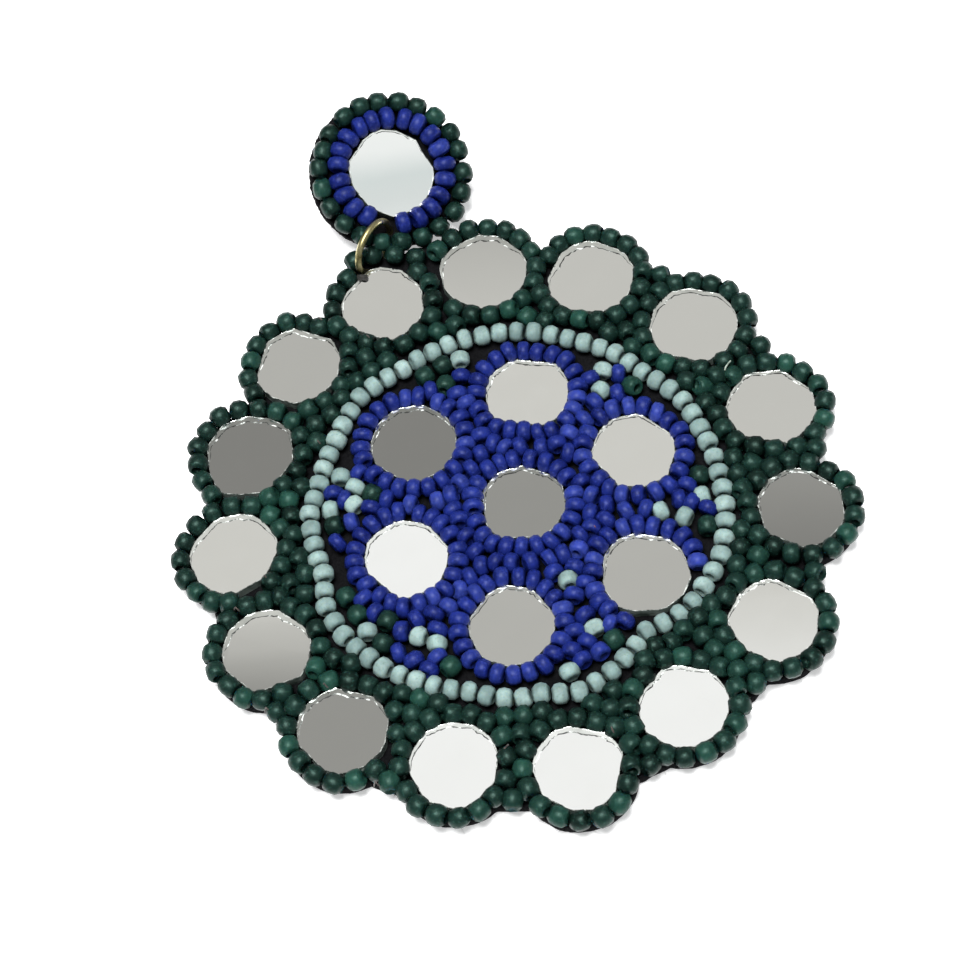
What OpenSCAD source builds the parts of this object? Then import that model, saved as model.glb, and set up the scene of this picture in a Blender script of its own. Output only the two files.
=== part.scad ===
// Mirror earring: two felt discs sewn with cut mirror glasses and seed bead rows, linked by a jump ring.
// Millimetres. The back of the main disc lies on z = 0, its middle is the origin, and the stud is at +Y.

/* [Felt] */
// Thickness of the main disc's felt
main_felt_t = 1.5; // [1.3:0.1:1.7]
// How far the felt reaches past the middle of the outermost beads, which stand over its edge
felt_margin = 0.05; // [-0.2:0.05:0.5]
// Radius of the main felt in the valleys between the scallops
valley_r = 30.6; // [30.2:0.1:31.2]
// Thickness of the stud's felt
stud_felt_t = 1.3; // [1.1:0.1:1.4]
// Radius of the stud's felt
stud_felt_r = 8.25; // [8.1:0.05:8.3]

/* [Mirrors] */
// Thickness of the mirror glass
glass_t = 1.2; // [0.9:0.1:1.4]
// Number of straight cuts round a mirror
glass_cuts = 17; // [14:1:24]
// How far a cut corner may fall short of the round
glass_nick = 0.16; // [0.05:0.01:0.25]
// Width of the bevel at the front edge of a mirror
glass_bevel = 0.12; // [0.05:0.01:0.2]
// Diameter of the stud's mirror
stud_mirror_d = 8.8; // [8.4:0.1:9]

/* [Beads] */
// Diameter of a green or pale seed bead
bead_d = 2.1; // [2.05:0.05:2.15]
// Diameter of a blue seed bead
blue_bead_d = 2; // [1.95:0.01:2]
// Radius of the pale bead ring, at the middle of its beads
aqua_r = 20.22; // [20.15:0.01:20.3]
// Height of the bead fields between their rows, above the felt
fill_h = 1.7; // [1.4:0.1:1.9]
// Radius of the stud's outer bead row, at the middle of its beads
stud_green_r = 7.5; // [7.5:0.05:7.7]

/* [Jump ring] */
// Radius of the ring, at the middle of its wire
ring_r = 2.8; // [2.75:0.01:2.85]
// Diameter of the ring's wire
wire_d = 0.72; // [0.6:0.02:0.76]

/* [Ear post] */
// Diameter of the pad glued behind the stud
pad_d = 4.6; // [4:0.2:5]
// Diameter of the post
post_d = 0.8; // [0.7:0.05:0.9]
// Length of the pad and post together
post_l = 6.6; // [6:0.05:6.6]
// Distance of the post above the stud's middle
post_up = 5.2; // [5:0.1:5.5]

/* [Hidden] */
// Clearance between pieces that rest on each other, and between rows side by side
seat = 0.02;
beside = 0.1;
// Clearance between the jump ring and the holes that it runs through
ring_play = 0.06;
// Steps that stand for the round top of a bead row
row_steps = 4;
pad_t = 0.5;

// Outer mirrors, clockwise from the one at the jump ring: [angle, distance from the middle, diameter]
outer_mirrors = [
    [ 90.0, 27.7, 8.6], [ 67.3, 27.9, 8.9], [ 44.4, 27.5, 8.9], [ 18.9, 27.2, 8.9], [ -7.0, 27.7, 8.8],
    [-31.0, 28.2, 8.7], [-56.4, 28.2, 8.8], [-81.3, 27.0, 8.6], [-105.3, 28.1, 8.8], [-129.7, 27.1, 8.6],
    [-153.7, 27.7, 8.9], [-177.7, 27.5, 8.8], [158.7, 27.5, 8.9], [135.5, 27.4, 9.0], [112.4, 28.1, 8.8]
];
// Inner mirrors, clockwise from the upper right, and the middle one last
inner_mirrors = [
    [ 54.5, 13.2, 8.5], [ -2.3, 13.5, 8.3], [-58.4, 14.8, 8.6], [-118.0, 12.5, 8.5], [177.3, 11.3, 8.4],
    [112.1, 12.6, 8.7], [  0.0,  1.3, 8.5]
];
middle = len(inner_mirrors) - 1;

// Height of the middle of the bead rows, and the tubes that stand for them
row_z = main_felt_t + seat + 0.06 + bead_d / 2;
row_play = 0.05;
tube_r = bead_d / 2 - row_play;
blue_tube_r = blue_bead_d / 2 - row_play;
aqua_half = tube_r + beside;

// The stud leans on the post behind it: tilt from flat, turn about the upright, middle of its back
stud_tilt = 27;
stud_turn = 8;
stud_at = [7.45, 40.97, 3.77];
stud_blue_r = row_r(stud_mirror_d);
stud_row_h = stud_felt_t + seat + 0.06 + bead_d / 2;
// The stud's blue row is open where the jump ring comes up: its middle and width, as angles
row_gap_at = 231;
row_gap_w = 34;

// The jump ring stands almost upright through both discs: its middle, lean and turn
ring_at = [2.35, 34.13, 3.24];
ring_lean = 85.8;
ring_turn = -60.2;
// Tab of the main felt that the jump ring runs through, and the felt under the stud's edge: [x, y, radius]
ring_tabs = [[0.2, 32.3, 2.2], [5.6, 30.4, 2.7]];

mirror_names_outer = [for (k = [0 : len(outer_mirrors) - 1]) str("mirror_outer_", k < 9 ? "0" : "", k + 1)];
mirror_names_inner = [for (k = [0 : middle - 1]) str("mirror_inner_0", k + 1)];
$fn = 64;

// Middle of a mirror, from its row in a table
function spot(m) = [m[1] * cos(m[0]), m[1] * sin(m[0])];
// Radius of the bead row round a mirror, at the middle of its beads
function row_r(d) = d / 2 + bead_d / 2 + row_play;

// Corner i of a hand-cut glass: a rule that looks uneven, with the glass's own number as its seed
function corner_r(r, seed, i) = r - glass_nick * abs(sin(137 * seed + 71 * i + 23));
function corner_a(seed, i) = (i + 0.25 * sin(83 * seed + 131 * i)) * 360 / glass_cuts;
function glass_outline(r, seed) = [
    for (i = [0 : glass_cuts - 1])
        corner_r(r, seed, i) * [cos(corner_a(seed, i)), sin(corner_a(seed, i))]
];

// One cut glass, its back at z = 0, with a narrow step for the bevel at its front edge
module glass(d, seed) {
    color("lightgray") {
        linear_extrude(glass_t - glass_bevel) polygon(glass_outline(d / 2, seed));
        linear_extrude(glass_t) polygon(glass_outline(d / 2 - glass_bevel, seed));
    }
}

module mirror_on_main(m, seed) {
    translate(concat(spot(m), main_felt_t + seat)) glass(m[2], seed);
}

module tube(r, thick, sweep = 360) {
    rotate_extrude(angle = sweep) translate([r, 0]) circle(r = thick);
}

// The wire of the jump ring, and with play the room that it needs
module wire(play) {
    translate(ring_at) rotate([0, ring_lean, ring_turn]) tube(ring_r, wire_d / 2 + play);
}

module place_stud() {
    translate(stud_at) rotate([stud_tilt, 0, stud_turn]) children();
}

// Scalloped plate of felt with the hole for the jump ring
module main_backing() {
    color("black") difference() {
        linear_extrude(main_felt_t) {
            circle(r = valley_r);
            for (m = outer_mirrors) translate(spot(m)) circle(r = row_r(m[2]) + felt_margin);
            for (t = ring_tabs) translate([t[0], t[1]]) circle(r = t[2]);
        }
        wire(ring_play);
    }
}

// Plan of the bead rows round the mirrors of a table, where the beads are more than half_w wide each way
module row_plan(table, half_w) {
    difference() {
        for (m = table) translate(spot(m)) circle(r = row_r(m[2]) + half_w);
        for (m = table) translate(spot(m)) circle(r = row_r(m[2]) - half_w);
    }
}

// Bead rows with stepped round tops, and a plate out to plate_r that stands for the beads between them.
// Its child is the plan that the field keeps within.
module bead_field(table, thick, plate_r) {
    turn = 90 / row_steps;
    translate([0, 0, main_felt_t + seat]) {
        for (i = [0 : row_steps - 1])
            linear_extrude(row_z - main_felt_t - seat + thick * sin((i + 0.5) * turn)) intersection() {
                row_plan(table, thick * cos((i + 0.5) * turn));
                children();
            }
        linear_extrude(fill_h) difference() {
            intersection() {
                circle(r = plate_r);
                children();
            }
            for (m = table) translate(spot(m)) circle(r = row_r(m[2]));
        }
    }
}

// Plan of the green field: scallops outside, the pale ring inside
module green_plan() {
    difference() {
        union() {
            circle(r = valley_r);
            for (m = outer_mirrors) translate(spot(m)) circle(r = row_r(m[2]) + bead_d);
        }
        circle(r = aqua_r + aqua_half);
    }
}

module green_rows() {
    color("darkgreen") difference() {
        bead_field(outer_mirrors, tube_r, valley_r - beside) green_plan();
        wire(ring_play);
    }
}

module aqua_row() {
    color("paleturquoise") translate([0, 0, row_z]) tube(aqua_r, tube_r);
}

module blue_rows() {
    color("royalblue") bead_field(inner_mirrors, blue_tube_r, aqua_r) circle(r = aqua_r - aqua_half);
}

module jump_ring() {
    color("darkgoldenrod") wire(0);
}

module stud_backing() {
    color("black") difference() {
        place_stud() cylinder(r = stud_felt_r, h = stud_felt_t);
        wire(ring_play);
    }
}

module stud_mirror() {
    place_stud() translate([0, 0, stud_felt_t + seat]) glass(stud_mirror_d, 23);
}

module stud_blue_row() {
    color("royalblue") place_stud() translate([0, 0, stud_row_h])
        rotate(row_gap_at + row_gap_w / 2) tube(stud_blue_r, blue_tube_r, 360 - row_gap_w);
}

module stud_green_row() {
    color("darkgreen") place_stud() translate([0, 0, stud_row_h]) tube(stud_green_r, tube_r);
}

// Pad and post as one piece, behind the upper half of the stud
module ear_post() {
    color("silver") place_stud() translate([0, post_up, -seat]) mirror([0, 0, 1]) {
        cylinder(d = pad_d, h = pad_t);
        cylinder(d = post_d, h = post_l);
    }
}

main_backing();
for (k = [0 : len(outer_mirrors) - 1])
    mirror_on_main(outer_mirrors[k], k);
for (k = [0 : middle - 1])
    mirror_on_main(inner_mirrors[k], 15 + k);
mirror_on_main(inner_mirrors[middle], 15 + middle);  // mirror_middle
green_rows();
aqua_row();
blue_rows();
jump_ring();
stud_backing();
stud_mirror();
stud_blue_row();
stud_green_row();
ear_post();
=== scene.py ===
import math

import bpy
import numpy as np
from mathutils import Matrix, Vector


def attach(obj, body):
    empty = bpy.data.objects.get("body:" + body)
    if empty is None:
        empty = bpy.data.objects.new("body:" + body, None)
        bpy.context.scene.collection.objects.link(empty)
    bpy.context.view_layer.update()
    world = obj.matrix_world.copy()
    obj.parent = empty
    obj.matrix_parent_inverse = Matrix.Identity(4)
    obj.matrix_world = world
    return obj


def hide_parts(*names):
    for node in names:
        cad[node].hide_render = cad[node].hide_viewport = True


# Mirror earring, dressed for rendering: glass seed beads, cut mirrors, felt, thread, brass ring and ear post.
# Sizes below are in millimetres and are turned into metres where a mesh is made.
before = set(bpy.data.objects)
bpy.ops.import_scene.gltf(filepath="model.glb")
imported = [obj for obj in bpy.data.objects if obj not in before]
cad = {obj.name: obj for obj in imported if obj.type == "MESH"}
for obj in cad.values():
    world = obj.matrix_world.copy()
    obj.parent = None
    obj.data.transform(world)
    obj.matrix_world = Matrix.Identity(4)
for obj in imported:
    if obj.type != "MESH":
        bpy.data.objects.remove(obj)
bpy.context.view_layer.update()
mm = 0.001
fullTurn = 6.28  # of a random spin, in radians
farAway = 99.0
print("frame loaded:", len(cad), "solids")


def newThing(name, data):
    thing = bpy.data.objects.new(name, data)
    bpy.context.scene.collection.objects.link(thing)
    return thing


def turnedMesh(name, points, faces, smooth=True, place=None):
    # a mesh object at the origin, from points in millimetres
    mesh = bpy.data.meshes.new(name)
    spots = [place @ Vector(p) for p in points] if place else points
    mesh.from_pydata([tuple(c * mm for c in p) for p in spots], [], faces)
    mesh.validate()
    mesh.update()
    mesh.polygons.foreach_set("use_smooth", [smooth] * len(mesh.polygons))
    return newThing(name, mesh)


def circle(count):
    # cosine and sine of evenly spaced directions
    return [(math.cos(2 * math.pi * k / count), math.sin(2 * math.pi * k / count)) for k in range(count)]


def joinRings(count, rings, first=0):
    # quads between closed rings of points that have the same count
    faces = []
    for low in range(first * count, (first + rings - 1) * count, count):
        for i in range(count):
            j = (i + 1) % count
            faces.append((low + i, low + j, low + count + j, low + count + i))
    return faces


def tubeFaces(count, rings, first=0):
    # the same, with a face over each end
    start, last = first * count, (first + rings - 1) * count
    ends = [tuple(reversed(range(start, start + count))), tuple(range(last, last + count))]
    return joinRings(count, rings, first) + ends


def ridePiece(thing, material, slotName, *nodes):
    # gives a finished piece its body and hides the solids that it stands for; its record slot is not used
    if material:
        thing.data.materials.clear()
        thing.data.materials.append(material)
    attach(thing, "root")
    if nodes:
        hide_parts(*nodes)


def newMaterial(name, **sockets):
    # a Principled material whose plain values are set on the shader itself
    material = bpy.data.materials.new(name)
    material.use_nodes = True
    shader = material.node_tree.nodes["Principled BSDF"]
    for key, value in sockets.items():
        shader.inputs[key.replace("_", " ")].default_value = value
    return material, material.node_tree, shader


def addNode(tree, kind, **settings):
    node = tree.nodes.new(kind)
    for key, value in settings.items():
        if key == "inputs":
            for name, content in value.items():
                node.inputs[name].default_value = content
        else:
            setattr(node, key, value)
    return node


def geometryNodes(tree, *kinds):
    return [tree.nodes.new("GeometryNode" + kind) for kind in kinds]


def wire(tree, *joins):
    # each join is [node, its output, the next node, its input]
    for first, output, second, socket in joins:
        tree.links.new(first.outputs[output], second.inputs[socket])


def socketColour(colour):
    # a colour as a socket takes it, where one number stands for a grey
    return (colour, colour, colour, 1) if isinstance(colour, float) else (*colour, 1)


def colourRamp(tree, source, stops):
    # each stop is a position and a colour
    ramp = tree.nodes.new("ShaderNodeValToRGB")
    marks = ramp.color_ramp.elements
    for k, (position, colour) in enumerate((stops[0], stops[-1])):
        marks[k].position = position
        marks[k].color = socketColour(colour)
    for position, colour in stops[1:-1]:
        marks.new(position).color = socketColour(colour)
    tree.links.new(source, ramp.inputs["Fac"])
    return ramp.outputs["Color"]


def noiseOn(tree, scale, detail=3.0, rough=0.55):
    # noise in the object's own metres: scale is in lumps for each metre
    where = tree.nodes.new("ShaderNodeTexCoord")
    noise = addNode(tree, "ShaderNodeTexNoise", inputs={"Scale": scale, "Detail": detail, "Roughness": rough})
    tree.links.new(where.outputs["Object"], noise.inputs["Vector"])
    return noise.outputs["Fac"]


def mixColours(tree, factor, first, second, blend="MIX"):
    mix = addNode(tree, "ShaderNodeMix", data_type="RGBA", blend_type=blend)
    for socket, value in ((mix.inputs["Factor"], factor), (mix.inputs[6], first), (mix.inputs[7], second)):
        if isinstance(value, (int, float)):
            socket.default_value = value
        elif isinstance(value, tuple):
            socket.default_value = (*value, 1)
        else:
            tree.links.new(value, socket)
    return mix.outputs[2]


def bumpFrom(tree, shader, height, strength, distance):
    bump = addNode(tree, "ShaderNodeBump", inputs={"Strength": strength, "Distance": distance})
    tree.links.new(height, bump.inputs["Height"])
    tree.links.new(bump.outputs["Normal"], shader.inputs["Normal"])


def noisyMaterial(name, noise, stops, socket="Base Color", bump=None, **plain):
    # one value follows noise of this scale, detail and roughness. Bump: scale, detail, strength, distance
    material, tree, shader = newMaterial(name, **plain)
    tree.links.new(colourRamp(tree, noiseOn(tree, *noise), stops), shader.inputs[socket])
    if bump:
        bumpFrom(tree, shader, noiseOn(tree, *bump[:2]), *bump[2:])
    return material


# The specks on the green and blue beads are lighter: painted glints. On the pale beads they are darker specks
# of the glass itself
beadLooks = {
    "greenGlass": {
        "dark": (0.0015, 0.006, 0.0045), "middle": (0.0048, 0.018, 0.0138), "light": (0.0095, 0.042, 0.03),
        "rough": 0.42, "shine": 0.24, "shineTint": (0.62, 1.0, 0.86), "depth": 0.25,
        "specksAndGlints": 2600, "speckAndGlintColour": (0.024, 0.07, 0.054), "speckAndGlintAmount": 0.45,
    },
    "paleGlass": {
        "dark": (0.16, 0.235, 0.225), "middle": (0.21, 0.3, 0.285), "light": (0.27, 0.37, 0.35),
        "rough": 0.55, "shine": 0.22, "shineTint": (1.0, 1.0, 1.0), "depth": 0.2,
        "specksAndGlints": 4200, "speckAndGlintColour": (0.1, 0.17, 0.145), "speckAndGlintAmount": 0.5,
    },
    "blueGlass": {
        "dark": (0.004, 0.009, 0.1), "middle": (0.008, 0.017, 0.145), "light": (0.022, 0.038, 0.22),
        "rough": 0.44, "shine": 0.26, "shineTint": (0.55, 0.62, 1.0), "depth": 0.6,
        "specksAndGlints": 3000, "speckAndGlintColour": (0.034, 0.052, 0.26), "speckAndGlintAmount": 0.45,
    },
}


def beadMaterial(name):
    # each bead has its own "tone", so no two neighbours are quite the same colour
    look = beadLooks[name]
    material, tree, shader = newMaterial(
        name, Roughness=look["rough"], Subsurface_Weight=look["depth"], Subsurface_Radius=(0.3, 0.5, 1.0),
        Subsurface_Scale=0.0008, Specular_IOR_Level=look["shine"], Specular_Tint=(*look["shineTint"], 1))
    tone = addNode(tree, "ShaderNodeAttribute", attribute_name="tone").outputs["Fac"]
    body = colourRamp(tree, tone, [(0.0, look["dark"]), (0.62, look["middle"]), (1.0, look["light"])])
    cloud = colourRamp(tree, noiseOn(tree, 900, 2.0), [(0.3, 0.72), (0.7, 1.22)])
    body = mixColours(tree, 1.0, body, cloud, "MULTIPLY")
    # specks: painted glints on the green and blue beads, the glass's own darker specks on the pale ones
    specksAndGlints = noiseOn(tree, look["specksAndGlints"], 2.0, 0.7)
    amount = addNode(tree, "ShaderNodeMath", operation="MULTIPLY", inputs={1: look["speckAndGlintAmount"]})
    tree.links.new(colourRamp(tree, specksAndGlints, [(0.56, 0.0), (0.68, 1.0)]), amount.inputs[0])
    body = mixColours(tree, amount.outputs[0], body, look["speckAndGlintColour"])
    tree.links.new(body, shader.inputs["Base Color"])
    bumpFrom(tree, shader, specksAndGlints, 0.35, 0.00008)
    return material


def feltMaterial():
    # pressed black felt: matted fibres, a little sheen
    material, tree, shader = newMaterial("blackFelt", Roughness=0.95, Specular_IOR_Level=0.04,
                                         Sheen_Weight=0.01, Sheen_Roughness=0.5)
    fibres = noiseOn(tree, 5200, 6.0, 0.8)
    dark = colourRamp(tree, fibres, [(0.35, (0.002, 0.002, 0.0025)), (0.65, (0.009, 0.009, 0.01))])
    soft = colourRamp(tree, noiseOn(tree, 420, 3.0), [(0.3, 0.7), (0.7, 1.3)])
    tree.links.new(mixColours(tree, 1.0, dark, soft, "MULTIPLY"), shader.inputs["Base Color"])
    bumpFrom(tree, shader, fibres, 0.9, 0.0002)
    return material


def threadMaterial(name, dark, light):
    return noisyMaterial(name, (6000, 2.0), [(0.35, dark), (0.65, light)], Roughness=0.7, Sheen_Weight=0.2)


def brassMaterial():
    # antique brass in dark and bright patches at random, rougher where it is dark
    material, tree, shader = newMaterial("antiqueBrass", Metallic=1.0)
    brassPatches = noiseOn(tree, 900, 4.0, 0.65)
    tints = [(0.3, (0.15, 0.13, 0.05)), (0.5, (0.46, 0.41, 0.2)), (0.75, (0.78, 0.71, 0.45))]
    tree.links.new(colourRamp(tree, brassPatches, tints), shader.inputs["Base Color"])
    tree.links.new(colourRamp(tree, brassPatches, [(0.3, 0.45), (0.7, 0.2)]), shader.inputs["Roughness"])
    bumpFrom(tree, shader, noiseOn(tree, 3500, 3.0), 0.15, 0.00005)
    return material


greenGlass, paleGlass, blueGlass = [beadMaterial(name) for name in beadLooks]
# The silver has faint smears, and the snapped edge has painted glints beside painted shade
silverFace = noisyMaterial("silverFace", (350, 3.0), [(0.35, 0.02), (0.75, 0.07)], "Roughness",
                           (160, 1.0, 0.12, 0.00004), Metallic=1.0, Base_Color=(0.93, 0.94, 0.92, 1))
snappedEdgeGlintsAndShade = noisyMaterial(
    "snappedEdgeGlintsAndShade", (1500, 3.0, 0.75),
    [(0.4, (0.02, 0.022, 0.02)), (0.5, (0.24, 0.26, 0.24)),
     (0.6, (0.7, 0.73, 0.69)), (0.8, (0.9, 0.92, 0.89))],
    Roughness=0.16, Metallic=0.35)
glassSide = noisyMaterial("glassSide", (700, 2.0), [(0.35, (0.05, 0.07, 0.06)), (0.7, (0.35, 0.42, 0.38))],
                          Roughness=0.2)
# Where the silvering ends, a line of painted shade with painted glints, and beside it the thick edge of the
# glass
edgeLineShadeAndGlints = noisyMaterial(
    "edgeLineShadeAndGlints", (1000, 3.0, 0.7),
    [(0.46, (0.012, 0.013, 0.012)), (0.54, (0.15, 0.16, 0.15)),
     (0.6, (0.65, 0.68, 0.65)), (0.7, (0.8, 0.83, 0.8))],
    Roughness=0.25)
wornBand = noisyMaterial("wornBand", (500, 2.0), [(0.3, (0.7, 0.73, 0.7)), (0.7, (0.95, 0.97, 0.94))],
                         Metallic=1.0, Roughness=0.12)
blackFelt = feltMaterial()
darkThread = threadMaterial("darkThread", (0.012, 0.01, 0.01), (0.07, 0.05, 0.04))
blackThread = threadMaterial("blackThread", (0.003, 0.003, 0.003), (0.02, 0.018, 0.014))
brownThread = threadMaterial("brownThread", (0.06, 0.015, 0.01), (0.22, 0.07, 0.05))
paleThread = threadMaterial("paleThread", (0.14, 0.19, 0.15), (0.36, 0.42, 0.36))
antiqueBrass = brassMaterial()
postSteel = noisyMaterial("postSteel", (2600, 4.0), [(0.3, 0.14), (0.7, 0.3)], "Roughness",
                          Metallic=1.0, Base_Color=(0.62, 0.62, 0.61, 1))
print("materials made:", len(bpy.data.materials))


def placed(at, turn, lean, axis):
    # leant about one of its own axes, then turned, then moved there
    turned = Matrix.Rotation(math.radians(turn), 4, "Z") @ Matrix.Rotation(math.radians(lean), 4, axis)
    return Matrix.Translation(at) @ turned


camera = {
    "stands": (-37.6, -124.4, 243.5),
    "aims": (-1.0, 4.6, 2.5),
    "imageRight": (0.8496, -0.5274, 0.0065),
    "lens": 105, "sensor": 36, "nearClip": 0.01,
}


def standCamera():
    eye = Vector(camera["stands"]) * mm
    ahead = (Vector(camera["aims"]) * mm - eye).normalized()
    right = Vector(camera["imageRight"])
    right = (right - ahead * right.dot(ahead)).normalized()
    up = right.cross(ahead)
    data = bpy.data.cameras.new("camera")
    data.lens = camera["lens"]
    data.sensor_width = camera["sensor"]
    data.clip_start = camera["nearClip"]
    thing = newThing("camera", data)
    thing.matrix_world = Matrix.Translation(eye) @ Matrix((right, up, -ahead)).transposed().to_4x4()
    bpy.context.scene.camera = thing


standCamera()

stud = {
    "at": (7.45, 40.97, 3.77), "tilt": 27.0, "turn": 8.0, "felt": 1.3,
    "slopes": (-0.02, 0.02),  # of its silver, at the far side and at the near one
    "band": 0.1,
    "cuts": {352: 0.45, 187: 0.2, 112: 0.3, 30: 0.25},
    "swells": [[262, 85, 0.45], [330, 30, 0.25]],
}
studPlace = placed(stud["at"], stud["turn"], stud["tilt"], "X")

glass = {
    "thick": 1.2, "bevel": 0.04,
    "wider": 0.13,  # past the solid, whose corners are cut short
    "snap": 0.02,  # unevenness of the snapped edge
    "rim": (0.02, 0.06),
    "chips": 0.12,  # share of the rim that is chipped
    "chipDepth": (0.03, 0.14),
    "line": (0.06, 0.18),
    "below": (0.02, 0.025, 0.03),  # how far the rim, the worn band and the silver lie under the top
    "far": (0.273, 0.962),  # the side where the worn band shows
    "shade": (0.525, 0.851),  # the way from a glass's near tone to its far one
    "mirroring": (2, 4),  # the worn band and the silver, among the five materials of a glass
    "edgeSteps": 5, "seed": 11,
}
rimStep = 5  # degrees between the places where a glass's reach is kept
# Each glass, in the order of the names: brightness that its far and its near side mirror, width of its
# worn band, depth of its straight cuts by angle, and where it swells past its round: [angle, spread, how far]
mirrorNames = ["mirror_outer_%02d" % k for k in range(1, 16)] + ["mirror_inner_%02d" % k for k in range(1, 7)]
mirrorNames.append("mirror_middle")
mirrorCuts = [
    [0.75, 0.75, 0.25, {337: 0.15, 217: 0.6, 103: 0.3}, [72, 55, 0.4]],
    [0.69, 0.75, 0.55, {20: 0.3, 215: 0.15}, [135, 40, 0.3]],
    [0.75, 0.75, 0.55, {232: 0.4, 127: 0.4, 35: 0.3}],
    [0.75, 0.75, 0.4, {225: 0.45, 45: 0.35}],
    [0.75, 0.75, 0.25, {228: 0.6, 20: 0.5, 65: 0.35}],
    [0.57, 0.5, 0.3, {215: 0.45, 165: 0.35, 337: 0.3, 25: 0.5}],
    [0.79, 0.86, 0.25, {180: 0.6, 213: 0.6, 30: 0.4, 125: 0.3}],
    [0.94, 0.94, 0.25, {48: 0.35, 112: 0.35}],
    [0.94, 0.94, 0.45, {320: 0.55, 48: 0.5, 172: 0.3, 212: 0.35}],
    [0.94, 0.94, 0.35, {180: 0.25, 325: 0.2}, [247, 20, 0.25]],
    [0.57, 0.57, 0.45, {195: 0.45, 45: 0.45}],
    [0.79, 0.57, 0.55, {262: 0.5, 200: 0.4, 25: 0.3}],
    [0.79, 0.79, 0.45, {272: 0.5, 310: 0.45, 112: 0.3}],
    [0.5, 0.5, 0.5, {160: 0.35, 297: 0.3}, [10, 25, 0.3], [210, 25, 0.3]],
    [0.69, 0.69, 0.4, {140: 0.5, 40: 0.45}],
    [0.79, 0.79, 0.35, {230: 0.7, 52: 0.55}],
    [0.79, 0.79, 0.2, {190: 0.5, 22: 0.45}, [285, 20, 0.35]],
    [0.69, 0.69, 0.35, {150: 0.4, 50: 0.35}, [300, 55, 0.35]],
    [0.69, 0.69, 0.3, {8: 0.3, 118: 0.35, 175: 0.2}],
    [0.94, 0.94, 0.35, {198: 0.6, 8: 0.25, 310: 0.1}, [100, 60, 0.2]],
    [0.5, 0.5, 0.45, {205: 0.3, 30: 0.15}],
    [0.57, 0.57, 0.35, {240: 0.5, 157: 0.4, 38: 0.3}],
]
# The studio that the mirrors show. A slope says how far a ray leans away from the upright
studio = {
    "bands": [  # from the bright side to the dark one: [slope, brightness in a mirror]
        [0.36, 0.98], [0.4, 0.94], [0.44, 0.8], [0.5, 0.74],
        [0.62, 0.7], [0.7, 0.6], [0.78, 0.52], [0.86, 0.48],
    ],
    "before": [  # plain light on either side of the bands: [slope, colour]
        [-0.6, (0.4, 0.41, 0.41)], [-0.45, (0.7, 0.72, 0.72)], [-0.385, (0.57, 0.6, 0.6)],
        [-0.345, (0.55, 0.59, 0.59)], [-0.31, (0.72, 0.735, 0.735)], [-0.26, (0.74, 0.75, 0.75)],
        [-0.1, (0.45, 0.46, 0.46)], [0.22, (0.5, 0.51, 0.51)], [0.3, (0.85, 0.86, 0.86)],
    ],
    "after": [[1.0, (0.3, 0.3, 0.29)], [1.2, (0.4, 0.41, 0.41)]],
    "span": (-0.8, 1.2),
    "inView": (0.06, 0.26),  # slopes to the side that a glass may be turned to
    "middle": 0.15,  # the bands' middle to the side, and how far from it they fade out
    "fade": (0.2, 0.4),
    "beside": (0.24, 0.245, 0.25),
    "silver": 0.92,  # share of the light that a silvered glass gives back
    "warm": (1.0, 0.985, 0.94),  # tint of the bands under this light
    "warmBelow": 0.6,
    "strength": 1.25,
    "floor": 1500, "floorDrop": 0.02,
    "lampAt": (-0.06, -0.03, 0.75), "lampSize": 0.35, "lampPower": 10.0,  # in metres and watts
}


def reachOf(points):
    return np.hypot(points[..., 0], points[..., 1])


def degreesOf(points):
    return np.degrees(np.arctan2(points[..., 1], points[..., 0])) % 360


def cutOutline(node, place=None):
    # the back edge of a cut glass, as its solid has it, and its middle
    back = place.inverted() if place else Matrix.Identity(4)
    points = [back @ (v.co / mm) for v in cad[node].data.vertices]
    low = min(p.z for p in points)
    corners = {(round(p.x, 3), round(p.y, 3)) for p in points if p.z < low + 0.01}
    middle = np.mean(np.array(list(corners)), axis=0)
    corners = sorted(corners, key=lambda c: math.atan2(c[1] - middle[1], c[0] - middle[0]))
    return np.array(corners), middle, low


def faceNormal(at, brightness):
    # the normal that sends the camera's ray from there to the studio band of that brightness
    levels = sorted((b, s) for s, b in studio["bands"])
    slope = float(np.interp(brightness, [b for b, s in levels], [s for b, s in levels]))
    seen = (Vector(at) - Vector(camera["stands"])).normalized()
    sideways = min(max(seen.x / -seen.z, studio["inView"][0]), studio["inView"][1])
    normal = (Vector((sideways, slope, 1.0)).normalized() - seen).normalized()
    return Vector((normal.x / normal.z, normal.y / normal.z, 1.0))


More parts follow.
